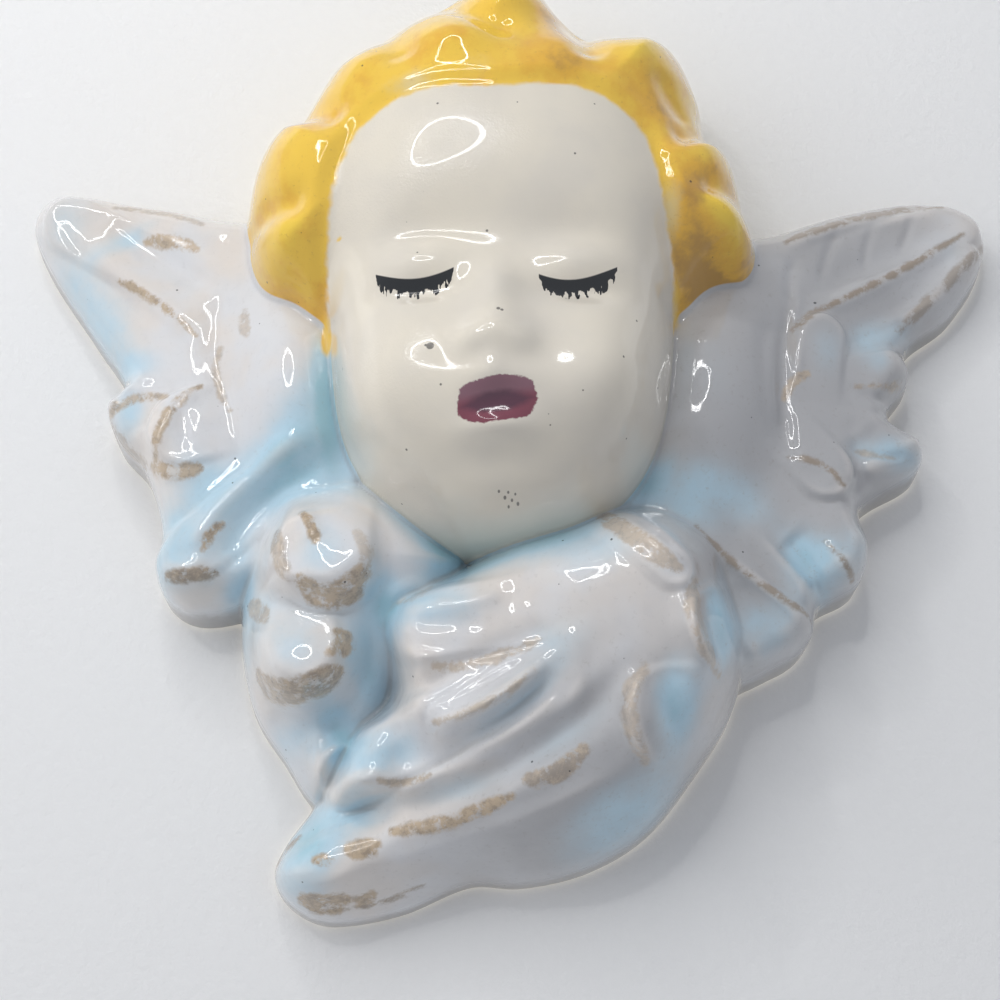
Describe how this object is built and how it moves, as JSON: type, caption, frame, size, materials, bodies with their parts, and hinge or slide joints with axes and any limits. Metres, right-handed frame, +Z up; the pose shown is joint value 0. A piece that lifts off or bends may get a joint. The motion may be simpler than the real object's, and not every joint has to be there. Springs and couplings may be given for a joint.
{
  "type": "cherub wall plaque",
  "caption": "Glazed ceramic wall plaque of a sleeping cherub's head above folded wings, with a flat back and a blind nail hole to hang it by.",
  "frame": {"origin": "on the flat back, behind the chin, where the plaque bears on the wall", "axes": "+Z up, -Y out of the wall along the face's gaze, +X to the viewer's right"},
  "size_m": [0.2082, 0.0559, 0.1967],
  "materials": {
    "glazed_ceramic": "cast earthenware under a thick high-gloss clear glaze: pearly white wings tinted pale blue in the hollows, worn dull gold lines on the feather edges, warm yellow hair, pale cream face, black lashes and a maroon mouth"
  },
  "bodies": {
    "root": {"cherub_plaque": "glazed_ceramic"}
  },
  "joints": []
}
